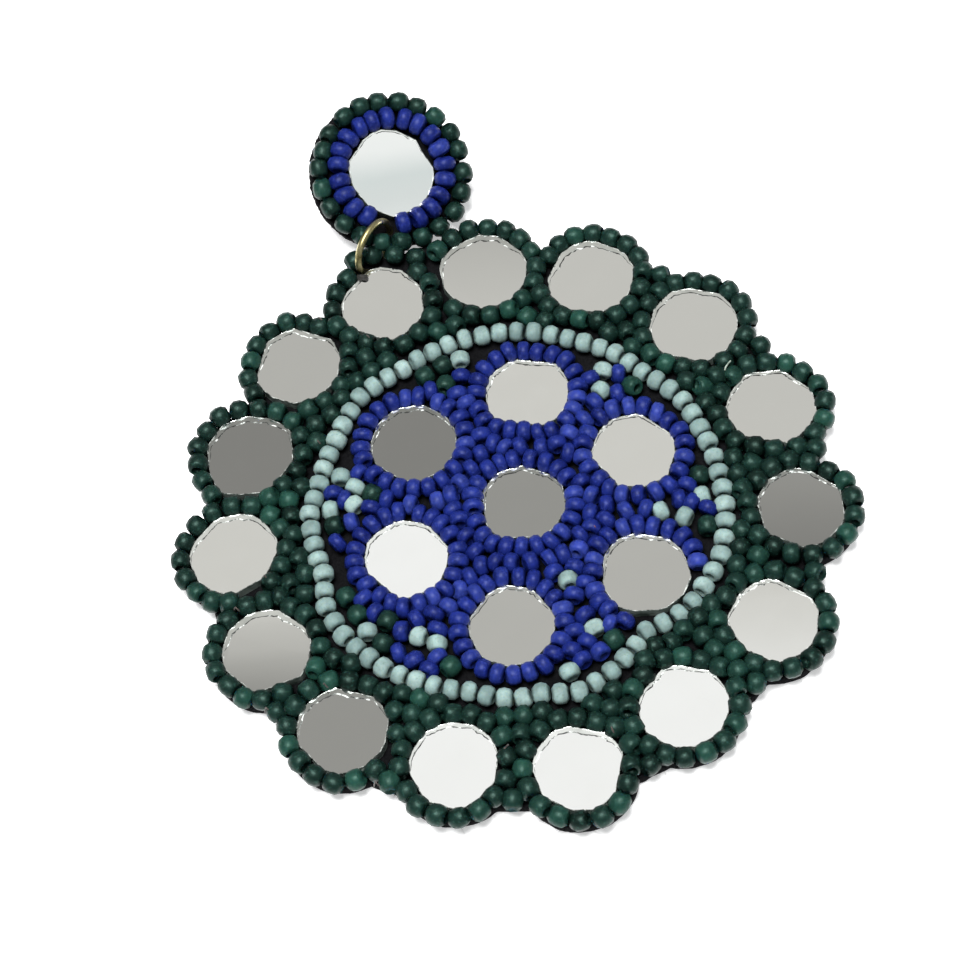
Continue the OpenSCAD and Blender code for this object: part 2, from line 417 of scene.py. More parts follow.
def cutGlass(name, node, shown, band, cuts, swells, rng, place=None):
    # a glass with a snapped edge: rim with painted glints and shade, worn band and a line of painted shade
    # and glints at its far side, and the silver face
    corners, middle, low = cutOutline(node, place)
    steps = glass["edgeSteps"]
    count = len(corners) * steps
    sides = zip(corners, np.roll(corners, -1, axis=0))
    edge = np.array([a + (b - a) * s / steps for a, b in sides for s in range(steps)]) - middle
    reach = reachOf(edge)
    ways = edge / reach[:, None]
    full = reach.max()
    reach = reach + glass["wider"]
    for way, deep in cuts.items():
        across = ways[:, 0] * math.cos(math.radians(way)) + ways[:, 1] * math.sin(math.radians(way))
        reach = np.minimum(reach, (full - deep) / np.maximum(across, 0.3))
    for way, spread, amount in swells:
        off = (degreesOf(ways) - way + 180) % 360 - 180
        reach += amount * np.cos(np.clip(off / spread, -1, 1) * math.pi / 2) ** 2
    away = np.clip(ways @ np.array(glass["far"]), 0, None)
    rim = rng.uniform(*glass["rim"], count) * (0.5 + 0.5 * away)
    chips = rng.random(count) < glass["chips"]
    rim[chips] += rng.uniform(*glass["chipDepth"], chips.sum()) * (0.4 + 0.6 * away[chips])
    worn = band * away ** 0.7 * rng.uniform(0.9, 1.1, count)
    line = rng.uniform(*glass["line"], count) * np.minimum(1.0, 0.15 + 1.6 * away * min(1.0, band * 3))
    high = low + glass["thick"]
    outer = reach - glass["bevel"]
    rings = [
        (reach, np.full(count, low)),
        (reach - rng.uniform(0.0, glass["snap"], count), np.full(count, high - glass["bevel"])),
        (outer, high - rng.uniform(0.0, glass["snap"], count)),
    ]
    inner = (outer - rim, outer - rim - worn, outer - rim - worn - line)
    rings += [(radius, np.full(count, high - below)) for radius, below in zip(inner, glass["below"])]
    points = []
    for radius, height in rings:
        points += [(middle[0] + w[0] * r, middle[1] + w[1] * r, h) for w, r, h in zip(ways, radius, height)]
    thing = turnedMesh(name, points, tubeFaces(count, len(rings)), smooth=False, place=place)
    # the side, the edge with painted glints and shade, the worn band, the line of painted shade and glints,
    # and the silver
    for material in (glassSide, snappedEdgeGlintsAndShade, wornBand, edgeLineShadeAndGlints, silverFace):
        thing.data.materials.append(material)
    kinds = [0] * count + [1] * (2 * count) + [2] * count + [3] * count + [0, 4]
    thing.data.polygons.foreach_set("material_index", kinds)
    turnFace(thing.data, points, middle, full, shown, place)
    ridePiece(thing, None, "mirror_glass", node)
    return {"at": (float(middle[0]), float(middle[1])), "radius": float(full), "rim": roundedRim(ways, reach)}


def turnFace(mesh, points, middle, radius, shown, place):
    # the silver face keeps its plane, and its normals lean as the hand-set glass does
    farTone, nearTone = shown
    normals = [tuple(n.vector) for n in mesh.corner_normals]
    for face in mesh.polygons:
        if face.material_index not in glass["mirroring"]:
            continue
        face.use_smooth = True
        for loop in face.loop_indices:
            spot = points[mesh.loops[loop].vertex_index]
            away = (spot[0] - middle[0]) * glass["shade"][0] + (spot[1] - middle[1]) * glass["shade"][1]
            tone = nearTone + (farTone - nearTone) * (0.5 + 0.5 * away / radius)
            if place:
                normal = place.to_3x3() @ Vector((0.0, -tone, 1.0))
            else:
                normal = faceNormal(spot, tone)
            normals[loop] = tuple(normal.normalized())
    mesh.normals_split_custom_set(normals)


def roundedRim(ways, reach):
    # how far a glass reaches in each direction, as the beads round it feel it
    turns = degreesOf(ways)
    order = np.argsort(turns)
    rim = np.interp(np.arange(0, 360, rimStep), turns[order], reach[order], period=360)
    near = range(-2, 3)
    return sum(np.roll(rim, k) for k in near) / len(near)


def rimAt(mirror, away):
    # reach of a glass in the direction of each point, seen from its middle
    turns = degreesOf(away) / rimStep
    rim = mirror["rim"]
    low = np.floor(turns).astype(int) % len(rim)
    return rim[low] + (rim[(low + 1) % len(rim)] - rim[low]) * (turns - np.floor(turns))


rng = np.random.default_rng(glass["seed"])
outerRounds, innerRounds = [], []
for node, (farTone, nearTone, band, cuts, *swells) in zip(mirrorNames, mirrorCuts):
    spot = cutGlass(node.replace("mirror", "glass"), node, (farTone, nearTone), band, cuts, swells, rng)
    (outerRounds if "outer" in node else innerRounds).append(spot)
studGlass = [stud[key] for key in ("slopes", "band", "cuts", "swells")]
cutGlass("glass_stud", "stud_mirror", *studGlass, rng, studPlace)
print("mirrors cut:", len(mirrorCuts) + 1)


# "seed" is for a field's places, and "lay" for how its beads lie
beads = {
    "green": {"length": 1.98, "width": 2.13, "tip": 0.22, "pitch": 2.1, "fill": 1.38, "seed": 5, "lay": 21},
    "blue": {"length": 1.47, "width": 2.16, "tip": 0.13, "pitch": 1.6, "fill": 1.28, "seed": 3, "lay": 22},
    "pale": {"length": 1.67, "width": 2.13, "tip": 0.07, "lay": 23},
    "feltTop": 1.5,
    "tuck": 0.1,  # how far a bead leans over the glass beside it
    "rise": 0.1, "twist": 0.8,  # how far beads stand off the felt, and how freely they turn on their thread
    # middle and spread of their tones, the lightest, and how many are clear
    "tones": (0.48, 0.25), "lightest": 0.9, "clearShare": 0.04,
    "unevenness": 0.00022,
}
fields = {
    "ringRoom": 1.5, "blueEdge": 1.75,  # from the pale ring to a bead beside it, and to a blue corner bead
    "squeeze": (3.4, 3.7),  # no such bead lies this near both to the pale ring and to a glass
    "greenEdge": 30.3,  # the green field ends here, between the scallops
    "scallop": 1.12,  # and this far from a glass on the scallops
    "bareAt": (2.6, 32.2),  # by the brass ring, no row or field bead lies this near to here
    "bare": 2.3,
    "brassAt": (0.2, 32.9),  # the brass ring comes up through the rows here
    "brassSize": (1.0, 0.9),
    "crowd": 0.3,  # how much nearer a row's bead may lie to the next glass than to its own
    "ownRoom": 0.6, "rowRoom": 0.72,  # shares of its width and pitch that it keeps from the beads there
    "grid": (-36, 36, 0.3), "jitter": 0.1, "spin": 0.4,  # where a bead that fills a corner may start
    "spread": ((0.92, 1.05), (0.95, 1.04)),  # of the beads' lengths and widths
    "steps": 140,  # of the nudging that fits the beads together
    "fit": 0.97, "push": 0.6, "pull": 0.5,
    "thread": 0.12,  # a row's thread keeps its beads from drifting along it
    # shares of its length and width that a stray bead takes up, and that it has
    "strayRoom": (0.95, 0.96), "straySize": (0.97, 0.98),
}
paleRing = {
    "radius": 20.0, "count": 72, "room": (1.62, 2.08), "spread": ((0.9, 1.06), (0.95, 1.04)), "seed": 17,
    # how far the ring wanders out of its circle, by the angle anticlockwise from +X
    "wander": {
        5: 0.5, 20: -0.2, 32: 0.1, 45: 0.0, 60: 0.3, 75: 0.3, 95: -0.1, 110: 0.4, 125: -0.4, 140: -0.5,
        150: -0.1, 170: -0.7, 180: 0.4, 190: 0.6, 205: 0.4, 230: -0.4, 242: 0.2, 250: 0.0, 260: 0.8,
        268: 0.3, 285: -1.1, 297: 0.4, 315: 1.2, 325: 1.0, 340: 0.6, 355: 0.4,
    },
}
# Beads that break the rows: [x, y, angle of the hole]
strayBeads = {
    "pale": [
        [-12.7, 12.1, 60], [-12.0, 10.3, 35], [-13.0, 8.6, 100], [-15.3, 9.3, 155], [3.7, 17.7, 70],
        [-18.1, -4.4, 60], [15.4, 9.0, 50], [14.1, 7.1, 20], [12.4, -7.8, 170], [14.1, -9.5, 120],
        [16.7, -8.4, 160], [1.1, -9.6, 80], [0.8, -15.4, 85], [-3.4, -18.1, 80], [-14.1, -7.4, 130],
        [-12.9, -9.0, 60],
    ],
    "green": [
        [-0.1, 34.1, 170], [1.85, 33.75, 160], [3.85, 32.6, 140], [5.6, 31.1, 120], [-15.7, 7.6, 150],
        [-10.9, 8.7, 20], [-0.2, 17.9, 10], [1.9, 18.1, 0], [1.1, 15.9, 40], [-18.2, 0.0, 90],
        [-18.1, -2.3, 90], [-15.9, -4.4, 40], [-17.4, -6.3, 45], [17.0, 5.9, 90], [17.6, -6.3, 60],
        [15.5, -11.5, 60], [1.8, -17.4, 0], [-12.9, -11.9, 30],
    ],
    "blue": [
        [-14.2, 10.8, 60], [2.9, 16.0, 60], [16.5, 7.8, 150], [14.6, -7.6, 160], [16.5, -9.9, 20],
        [3.7, -16.2, 30], [0.1, -17.8, 90], [-1.8, -17.7, 90],
    ],
}


def ringReach(points):
    # radius of the pale ring in the direction of each point
    turns, out = zip(*paleRing["wander"].items())
    return paleRing["radius"] + np.interp(degreesOf(points), turns, out, period=360)


def toGlass(points, rounds):
    return np.min([reachOf(points - m["at"]) - rimAt(m, points - m["at"]) for m in rounds], axis=0)


def inBlueField(points, loose=False):
    # with loose, for a bead between the rows: none is squeezed in between a row and the pale ring
    inward = ringReach(points) - reachOf(points)
    nearRing, nearGlass = fields["squeeze"]
    squeezed = (inward < nearRing) & (toGlass(points, innerRounds) < nearGlass)
    return (inward > fields["blueEdge"]) & ~squeezed if loose else inward > fields["ringRoom"]


def inGreenField(points, loose=False):
    reach = reachOf(points)
    onScallop = toGlass(points, outerRounds) < fields["scallop"]
    covered = reachOf(points - fields["bareAt"]) > fields["bare"]
    outside = reach > ringReach(points) + fields["ringRoom"]
    return covered & outside & ((reach < fields["greenEdge"]) | onScallop)


def nearest(points, others):
    return np.min(reachOf(points[:, None, :] - others[None, :, :]), axis=1)


def unevenSizes(rng, count, kind, spread):
    # each bead's own length and width
    sizes = [kind[key] * rng.uniform(*limits, count) for key, limits in zip(("length", "width"), spread)]
    return np.stack(sizes, axis=1)


def sewField(kind, rounds, inside, fixed):
    # rows of beads round each mirror, then beads in the corners between them, then all nudged until they fit
    width, pitch = kind["width"], kind["pitch"]
    rng = np.random.default_rng(kind["seed"])
    places, turns, homes = [], [], []
    for k, mirror in enumerate(rounds):
        count = round(2 * math.pi * (mirror["radius"] + width / 2) / pitch)
        start = rng.uniform(0, 2 * math.pi)
        others = [m for m in rounds if m is not mirror]
        for i in range(count):
            a = start + 2 * math.pi * i / count
            way = np.array([[math.cos(a), math.sin(a)]])
            p = mirror["at"] + way * (rimAt(mirror, way) + width / 2 - beads["tuck"])
            crowded = toGlass(p, others)[0] < width / 2 - fields["crowd"]
            taken = nearest(p, fixed["at"])[0] < fields["ownRoom"] * width
            taken = taken or (places and nearest(p, np.array(places))[0] < fields["rowRoom"] * pitch)
            if inside(p)[0] and not crowded and not taken:
                places.append(p[0])
                turns.append(a + math.pi / 2)
                homes.append(k)
    grid = np.arange(*fields["grid"])
    spare = np.stack(np.meshgrid(grid, grid), axis=-1).reshape(-1, 2)
    spare = spare[inside(spare, loose=True)]
    spare = spare + rng.uniform(-fields["jitter"], fields["jitter"], spare.shape)
    spare = spare[toGlass(spare, rounds) > width / 2 - beads["tuck"]]
    room = nearest(spare, np.concatenate([np.array(places), fixed["at"]]))
    while room.max() > kind["fill"]:
        p = spare[int(np.argmax(room))]
        close = min(rounds, key=lambda m: reachOf(p - m["at"]) - m["radius"])
        away = p - close["at"]
        places.append(p)
        turns.append(math.atan2(away[1], away[0]) + math.pi / 2 + rng.normal(0, fields["spin"]))
        homes.append(-1)
        room = np.minimum(room, reachOf(spare - p))
    sizes = unevenSizes(rng, len(places), kind, fields["spread"])
    at = nudge(np.array(places), np.array(turns), np.array(homes), sizes, rounds, fixed)
    return {"at": at, "turn": np.array(turns), "size": sizes}


def halfWidth(turn, gap, size):
    # half the size of a barrel-shaped bead towards a neighbour
    apart = np.sqrt((gap ** 2).sum(-1)) + 1e-9
    along = (np.cos(turn) * gap[..., 0] + np.sin(turn) * gap[..., 1]) / apart
    return 0.5 * np.sqrt((along * size[..., 0]) ** 2 + (1 - along ** 2) * size[..., 1] ** 2)


def nudge(at, turn, home, size, rounds, fixed):
    at = at.copy()
    free = len(at)
    turns = np.concatenate([turn, fixed["turn"]])
    sizes = np.concatenate([size, fixed["size"]])
    share = np.concatenate([np.full(free, 0.5), np.ones(len(fixed["at"]))])
    start = at.copy()
    thread = np.where(home < 0, 0.0, fields["thread"])[:, None]
    for step in range(fields["steps"]):
        every = np.concatenate([at, fixed["at"]])
        gap = every[None, :, :] - at[:, None, :]
        apart = np.sqrt((gap ** 2).sum(2))
        np.fill_diagonal(apart, farAway)  # a bead is no neighbour of its own
        wanted = halfWidth(turns[:free, None], gap, sizes[:free, None])
        wanted = wanted + halfWidth(turns[None, :], gap, sizes[None, :])
        over = np.clip(wanted * fields["fit"] - apart, 0, None) * share
        at -= (gap / apart[:, :, None] * over[:, :, None]).sum(1) * fields["push"]
        at += (start - at) * thread
        for k, m in enumerate(rounds):
            away = at - m["at"]
            far = reachOf(away)[:, None]
            row = rimAt(m, away)[:, None] + size[:, 1:] / 2 - beads["tuck"]
            shift = np.where((home == k)[:, None], (row - far) * fields["pull"], np.clip(row - far, 0, None))
            at += away / far * shift
        out = reachOf(at)
        loose = (home < 0) & (out > fields["greenEdge"])
        at[loose] *= (fields["greenEdge"] / out)[loose, None]
    return at


def paleBeads():
    angle = 2 * math.pi * np.arange(paleRing["count"]) / paleRing["count"]
    way = np.stack([np.cos(angle), np.sin(angle)], axis=1)
    at = way * ringReach(way)[:, None]
    ahead = np.roll(at, -1, axis=0) - np.roll(at, 1, axis=0)
    size = unevenSizes(np.random.default_rng(paleRing["seed"]), len(at), beads["pale"], paleRing["spread"])
    return {"at": at, "turn": np.arctan2(ahead[:, 1], ahead[:, 0]), "size": size}


def strays(colour, shares):
    # the stray beads of one colour, with these shares of its length and width
    rows = np.array(strayBeads[colour], float)
    size = [beads[colour]["length"] * shares[0], beads[colour]["width"] * shares[1]]
    return {"at": rows[:, :2], "turn": np.radians(rows[:, 2]), "size": np.tile(size, (len(rows), 1))}


def joined(*groups):
    return {key: np.concatenate([g[key] for g in groups]) for key in ("at", "turn", "size")}


paleField = paleBeads()
paleRoom = {**paleField, "size": np.tile(paleRing["room"], (paleRing["count"], 1))}
brassRoom = {"at": [fields["brassAt"]], "turn": [0.0], "size": [fields["brassSize"]]}
fixed = joined(paleRoom, *[strays(colour, fields["strayRoom"]) for colour in strayBeads], brassRoom)
blueField = sewField(beads["blue"], innerRounds, inBlueField, fixed)
greenField = sewField(beads["green"], outerRounds, inGreenField, fixed)
print("beads laid out: blue", len(blueField["at"]), "green", len(greenField["at"]))


def beadShape():
    # one seed bead along X, one unit long and wide: a fat barrel with a hole that narrows to its middle
    profile = [(-0.5, 0.27), (-0.31, 0.45), (0.0, 0.5), (0.31, 0.45), (0.5, 0.27), (0.0, 0.15)]
    around = 10
    points = []
    for c, s in circle(around):
        points += [(x, r * c, r * s) for x, r in profile]
    total = len(points)
    faces = [(a, d % total, c % total, b) for a, b, c, d in joinRings(len(profile), around + 1)]
    return turnedMesh("beadShape", points, faces)


def newTree(name, **kinds):
    # a Geometry Nodes tree that takes a geometry and the named inputs, and gives a geometry
    tree = bpy.data.node_groups.new(name, "GeometryNodeTree")
    tree.interface.new_socket("Geometry", in_out="INPUT", socket_type="NodeSocketGeometry")
    for key, kind in kinds.items():
        tree.interface.new_socket(key, in_out="INPUT", socket_type="NodeSocket" + kind)
    tree.interface.new_socket("Geometry", in_out="OUTPUT", socket_type="NodeSocketGeometry")
    return tree, tree.nodes.new("NodeGroupInput"), tree.nodes.new("NodeGroupOutput")


def beadTree():
    # points with their own turn, size and tone become beads of slightly uneven glass
    tree, start, end = newTree("sewnBeads", Bead="Object", Glass="Material", Unevenness="Float")
    shape, place, real, shift, finish = geometryNodes(
        tree, "ObjectInfo", "InstanceOnPoints", "RealizeInstances", "SetPosition", "SetMaterial")
    turn, size = [
        addNode(tree, "GeometryNodeInputNamedAttribute", data_type="FLOAT_VECTOR", inputs={"Name": key})
        for key in ("turn", "size")]
    noise = addNode(tree, "ShaderNodeTexNoise", inputs={"Scale": 1100.0, "Detail": 1.0})
    middle = addNode(tree, "ShaderNodeVectorMath", operation="SUBTRACT", inputs={1: (0.5, 0.5, 0.5)})
    amount = addNode(tree, "ShaderNodeVectorMath", operation="SCALE")
    wire(
        tree,
        [start, "Geometry", place, "Points"], [start, "Bead", shape, "Object"],
        [shape, "Geometry", place, "Instance"], [turn, "Attribute", place, "Rotation"],
        [size, "Attribute", place, "Scale"], [place, "Instances", real, "Geometry"],
        [noise, "Color", middle, 0], [middle, "Vector", amount, 0], [start, "Unevenness", amount, "Scale"],
        [real, "Geometry", shift, "Geometry"], [amount, "Vector", shift, "Offset"],
        [shift, "Geometry", finish, "Geometry"], [start, "Glass", finish, "Material"],
        [finish, "Geometry", end, "Geometry"],
    )
    return tree


def plainFrom(thing, tree, values):
    # runs a Geometry Nodes tree on an object and keeps the result as its plain mesh
    modifier = thing.modifiers.new("nodes", "NODES")
    modifier.node_group = tree
    names = {item.name: item.identifier for item in tree.interface.items_tree if item.in_out == "INPUT"}
    for name, value in values.items():
        modifier[names[name]] = value
    view = bpy.context.evaluated_depsgraph_get()
    view.update()
    mesh = bpy.data.meshes.new_from_object(thing.evaluated_get(view))
    thing.modifiers.remove(modifier)
    thing.data = mesh


def strewn(name, field, height, kind, place):
    # a mesh of bare points, one for each bead
    rng = np.random.default_rng(kind["lay"])
    tip = kind["tip"]
    count = len(field["at"])
    points, turns = [], []
    for (x, y), turn, width in zip(field["at"], field["turn"], field["size"][:, 1]):
        lift = height + width / 2 + abs(rng.normal(0, beads["rise"]))
        spin = Matrix.Rotation(turn + rng.normal(0, beads["twist"] * tip), 4, "Z")
        spin = spin @ Matrix.Rotation(rng.normal(0, tip), 4, "Y")
        spin = spin @ Matrix.Rotation(rng.uniform(0, fullTurn), 4, "X")
        spot = Matrix.Translation((x, y, lift)) @ spin
        if place:
            spot = place @ spot
        points.append(tuple(spot.translation))
        turns.append(tuple(spot.to_euler()))
    thing = turnedMesh(name, points, [])
    for key, values in (("turn", turns), ("size", field["size"][:, [0, 1, 1]])):
        kept = thing.data.attributes.new(key, "FLOAT_VECTOR", "POINT")
        kept.data.foreach_set("vector", np.array(values, float).ravel())
    tones = np.clip(rng.normal(*beads["tones"], count), 0, beads["lightest"])
    tones[rng.random(count) < beads["clearShare"]] = 1.0
    thing.data.attributes.new("tone", "FLOAT", "POINT").data.foreach_set("value", tones)
    return thing


beadModel = beadShape()
sewing = beadTree()


def sewPiece(name, glassKind, slotName, node, field, height, kind, place=None):
    thing = strewn(name, field, height, kind, place)
    plainFrom(thing, sewing, {"Bead": beadModel, "Glass": glassKind, "Unevenness": beads["unevenness"]})
    ridePiece(thing, glassKind, slotName, node)


mainPieces = [
    ["green", greenGlass, "green_beads", "green_rows", greenField],
    ["blue", blueGlass, "blue_beads", "blue_rows", blueField],
    ["pale", paleGlass, "aqua_beads", "aqua_row", paleField],
]
for colour, glassKind, slotName, node, field in mainPieces:
    field = joined(field, strays(colour, fields["straySize"]))
    sewPiece(colour + "_beads", glassKind, slotName, node, field, beads["feltTop"], beads[colour])

# The stud's own rows, laid flat round its mirror and then tipped with it
studRows = {
    "blue": {
        "length": 1.58, "width": 2.42, "radius": 5.62, "count": 20, "off": 0.2, "towards": 320,
        "gapAt": 229, "gapWidth": 23, "lift": 0.0, "tip": 0.12, "seed": 31, "lay": 24,
    },
    "green": {
        "length": 1.98, "width": 2.08, "radius": 7.5, "count": 22, "off": 0.25, "towards": 300,
        "gapAt": 7, "gapWidth": 0, "lift": -0.1, "tip": 0.2, "seed": 32, "lay": 25,
    },
    "spread": ((0.94, 1.05), (0.96, 1.03)),
    "alongPlay": 0.015,  # radians
    "outPlay": 0.06,
}


def studRow(row):
    rng = np.random.default_rng(row["seed"])
    count = row["count"]
    start = row["gapAt"] + row["gapWidth"] / 2
    angle = np.radians(start + (360 - row["gapWidth"]) * (np.arange(count) + 0.5) / count)
    angle = angle + rng.normal(0, studRows["alongPlay"], count)
    reach = row["radius"] + row["off"] * np.cos(angle - math.radians(row["towards"]))
    reach = reach + rng.normal(0, studRows["outPlay"], count)
    at = np.stack([reach * np.cos(angle), reach * np.sin(angle)], axis=1)
    return {"at": at, "turn": angle + math.pi / 2, "size": unevenSizes(rng, count, row, studRows["spread"])}


for colour, glassKind in (("blue", blueGlass), ("green", greenGlass)):
    row = studRows[colour]
    sewPiece("stud_" + colour + "_beads", glassKind, colour + "_beads", "stud_" + colour + "_row",
             studRow(row), stud["felt"] + row["lift"], row, studPlace)
bpy.data.objects.remove(beadModel)
print("beads sewn")


felt = {
    "thick": 1.5,
    "margin": 1.15,  # past the edge of a mirror, on the scallops
    "valley": 30.6,
    # felt that the brass ring runs through, and by the stud: [x, y, radius]
    "tabs": [[0.2, 32.3, 2.2], [3.1, 31.8, 1.95], [5.6, 30.4, 2.7], [7.3, 31.0, 1.75]],
    "around": 900,
    "studRadius": 8.25, "studTrimAt": 325, "studAround": 240,
    "studTrim": 0.5,  # cut closer by this on that side
    "waves": (17, 31, 53, 89, 131),  # in the cut edge: how many go round, and how deep they are
    "waveDepth": (0.01, 0.03),
    "rough": 0.012,
    # the rounded edge: [share of the reach, share of the thickness]
    "section": [
        [0.35, 0.0], [0.8, 0.0], [0.985, 0.0], [1.0, 0.18], [1.004, 0.5],
        [1.0, 0.82], [0.985, 1.0], [0.8, 1.0], [0.35, 1.0],
    ],
    "edgeRound": 12,
    "dip": 0.02,  # how far its faces and its edge fall short of the solid
    "fuzz": 450000.0,  # loose fibres for each square metre of felt
    "fibreLean": 1.1,
    "fibreLength": (0.25, 0.85),
    "faces": -0.25,  # fibres stand only where the felt faces up more than this
    "seed": 41,
}


def scallopedReach(angle):
    # how far the felt reaches in one direction: the farthest scallop, or the valley between two
    best = felt["valley"]
    for x, y, big in felt["tabs"] + [[*m["at"], m["radius"] + felt["margin"]] for m in outerRounds]:
        along = x * math.cos(angle) + y * math.sin(angle)
        across = x * math.sin(angle) - y * math.cos(angle)
        if abs(across) < big:
            best = max(best, along + math.sqrt(big * big - across * across))
    return best


def fibreShape():
    # one loose fibre, a millimetre long, curved and thin
    points = []
    for lift, bend, radius in ((-0.05, 0.0, 0.022), (0.5, 0.08, 0.017), (1.0, 0.35, 0.006)):
        points += [(bend + radius * c, radius * s, lift) for c, s in circle(3)]
    return turnedMesh("fibreShape", points, tubeFaces(3, 3))


def fuzzTree():
    # loose fibres stand on the top and the cut edge of the felt, never on its back or below it
    tree, start, end = newTree("feltFuzz", Fibre="Object", Felt="Material", Density="Float")
    lean, (low, high) = felt["fibreLean"], felt["fibreLength"]
    leans = {0: (-lean, -lean, 0.0), 1: (lean, lean, fullTurn), "Seed": 2}
    shape, normal, place, real, join, spot, lift, finish = geometryNodes(
        tree, "ObjectInfo", "InputNormal", "InstanceOnPoints", "RealizeInstances", "JoinGeometry",
        "InputPosition", "SetPosition", "SetMaterial")
    split = tree.nodes.new("ShaderNodeSeparateXYZ")
    upward = addNode(tree, "FunctionNodeCompare", operation="GREATER_THAN", inputs={1: felt["faces"]})
    strew = addNode(tree, "GeometryNodeDistributePointsOnFaces", inputs={"Seed": felt["seed"]})
    leaning = addNode(tree, "FunctionNodeRandomValue", data_type="FLOAT_VECTOR", inputs=leans)
    length = addNode(tree, "FunctionNodeRandomValue", data_type="FLOAT", inputs={2: low, 3: high, "Seed": 3})
    turn = addNode(tree, "FunctionNodeRotateRotation", rotation_space="LOCAL")
    above = addNode(tree, "ShaderNodeVectorMath", operation="MAXIMUM", inputs={1: (-1.0, -1.0, 0.0)})
    wire(
        tree,
        [normal, "Normal", split, 0], [split, "Z", upward, 0], [start, "Geometry", strew, "Mesh"],
        [upward, "Result", strew, "Selection"], [start, "Density", strew, "Density"],
        [start, "Fibre", shape, "Object"], [strew, "Points", place, "Points"],
        [shape, "Geometry", place, "Instance"], [strew, "Rotation", turn, "Rotation"],
        [leaning, 0, turn, "Rotate By"], [turn, "Rotation", place, "Rotation"], [length, 1, place, "Scale"],
        [start, "Geometry", join, "Geometry"], [place, "Instances", join, "Geometry"],
        [join, "Geometry", real, "Geometry"], [spot, "Position", above, 0],
        [real, "Geometry", lift, "Geometry"], [above, "Vector", lift, "Position"],
        [lift, "Geometry", finish, "Geometry"], [start, "Felt", finish, "Material"],
        [finish, "Geometry", end, "Geometry"],
    )
    return tree


fibreModel = fibreShape()
fuzzing = fuzzTree()


def feltPiece(name, reaches, thick, node, place=None):
    # a cut sheet: rounded, slightly wavy edge and gently uneven faces
    rng = np.random.default_rng(felt["seed"])
    count = len(reaches)
    angles = np.linspace(0, 2 * math.pi, count, endpoint=False)
    waves = 0.0
    for n in felt["waves"]:
        waves = waves + rng.uniform(*felt["waveDepth"]) * np.sin(angles * n + rng.uniform(0, fullTurn))
    edge = np.array(reaches) + waves - felt["dip"]
    points = []
    for share, level in felt["section"]:
        rough = rng.normal(0, felt["rough"] if 0 < level < 1 else 0.0, count)
        for a, r, k in zip(angles, edge, rough):
            reach = r * share if share < 0.9 else r - (1 - share) * felt["edgeRound"]
            lift = thick * level
            if level == 1.0:
                lift -= felt["dip"] + felt["dip"] * math.sin(reach * 1.7 + a * 9)
            points.append(((reach + k) * math.cos(a), (reach + k) * math.sin(a), lift))
    rings = len(felt["section"])
    faces = joinRings(count, rings)
    points += [(0, 0, 0), (0, 0, thick - felt["dip"])]
    last = (rings - 1) * count
    for i in range(count):
        j = (i + 1) % count
        faces.append((len(points) - 2, j, i))
        faces.append((len(points) - 1, last + i, last + j))
    thing = turnedMesh(name, points, faces, place=place)
    plainFrom(thing, fuzzing, {"Fibre": fibreModel, "Felt": blackFelt, "Density": felt["fuzz"]})
    ridePiece(thing, blackFelt, "black_felt", node)


def studReach(angle):
    # the stud's felt is trimmed on one side
    share = 0.5 + 0.5 * math.cos(math.radians(angle - felt["studTrimAt"]))
    return felt["studRadius"] - felt["studTrim"] * share


mainReaches = [scallopedReach(2 * math.pi * i / felt["around"]) for i in range(felt["around"])]
feltPiece("main_felt", mainReaches, felt["thick"], "main_backing")
studReaches = [studReach(360 * i / felt["studAround"]) for i in range(felt["studAround"])]
feltPiece("stud_felt", studReaches, stud["felt"], "stud_backing", studPlace)
bpy.data.objects.remove(fibreModel)
print("felt cut")

# Ends and loops of sewing thread that show between the beads: [x, y where it starts, x, y where it ends]
stitches = {
    "dark": [
        [-12.85, -22.75, -12.0, -21.65], [-3.1, -24.75, -2.75, -26.3], [-3.55, 25.15, -2.7, 24.25],
        [-6.85, 29.7, -5.85, 28.65], [-13.3, 16.8, -12.6, 16.2], [-28.4, 4.3, -27.7, 3.9],
        [-24.4, 6.0, -23.8, 5.5], [-24.5, -7.4, -23.9, -7.8], [-30.4, -6.8, -29.8, -7.1],
        [-24.8, -18.9, -24.2, -19.3],
    ],
    # black strands by the foot of the brass ring at the first glass: a dark notch, part thread and part
    # painted shade
    "tieAndShade": [
        [-1.05, 32.1, 0.45, 31.85], [-1.0, 31.9, 0.4, 31.65], [-0.95, 31.7, 0.3, 31.45],
        [-0.9, 31.5, 0.2, 31.3],
    ],
    "brown": [[5.6, -6.0, 6.3, -6.5]],
    "pale": [[25.0, 1.7, 27.2, 3.5]],
    "thick": 0.18, "high": 3.55, "tieAndShadeHigh": 2.95,
    "low": 2.5,  # where an end goes down between two beads
    "sway": 0.12,  # how far a stitch winds to either side, and how steeply its ends go down
    "steep": 1.4,
    "steps": 8, "sides": 6,
}


def stitchPiece(name, rows, material, high=stitches["high"]):
    # each stitch is a little arch of thread over the beads
    steps, sides = stitches["steps"], stitches["sides"]
    points, faces = [], []
    for x0, y0, x1, y1 in rows:
        along = Vector((x1 - x0, y1 - y0, 0)).normalized()
        across = Vector((-along.y, along.x, 0))
        first = len(points) // sides
        for i in range(steps + 1):
            t = i / steps
            rise = stitches["low"] + (high - stitches["low"]) * math.sin(math.pi * t)
            sway = across * stitches["sway"] * math.sin(2 * math.pi * t)
            middle = Vector((x0 + (x1 - x0) * t, y0 + (y1 - y0) * t, rise)) + sway
            slope = Vector((along.x, along.y, math.cos(math.pi * t) * stitches["steep"])).normalized()
            up = across.cross(slope)
            for c, s in circle(sides):
                points.append(tuple(middle + (across * c + up * s) * stitches["thick"] / 2))
        faces += tubeFaces(sides, steps + 1, first)
    ridePiece(turnedMesh(name, points, faces), material, "black_felt")


stitchPiece("dark_stitches", stitches["dark"], darkThread)
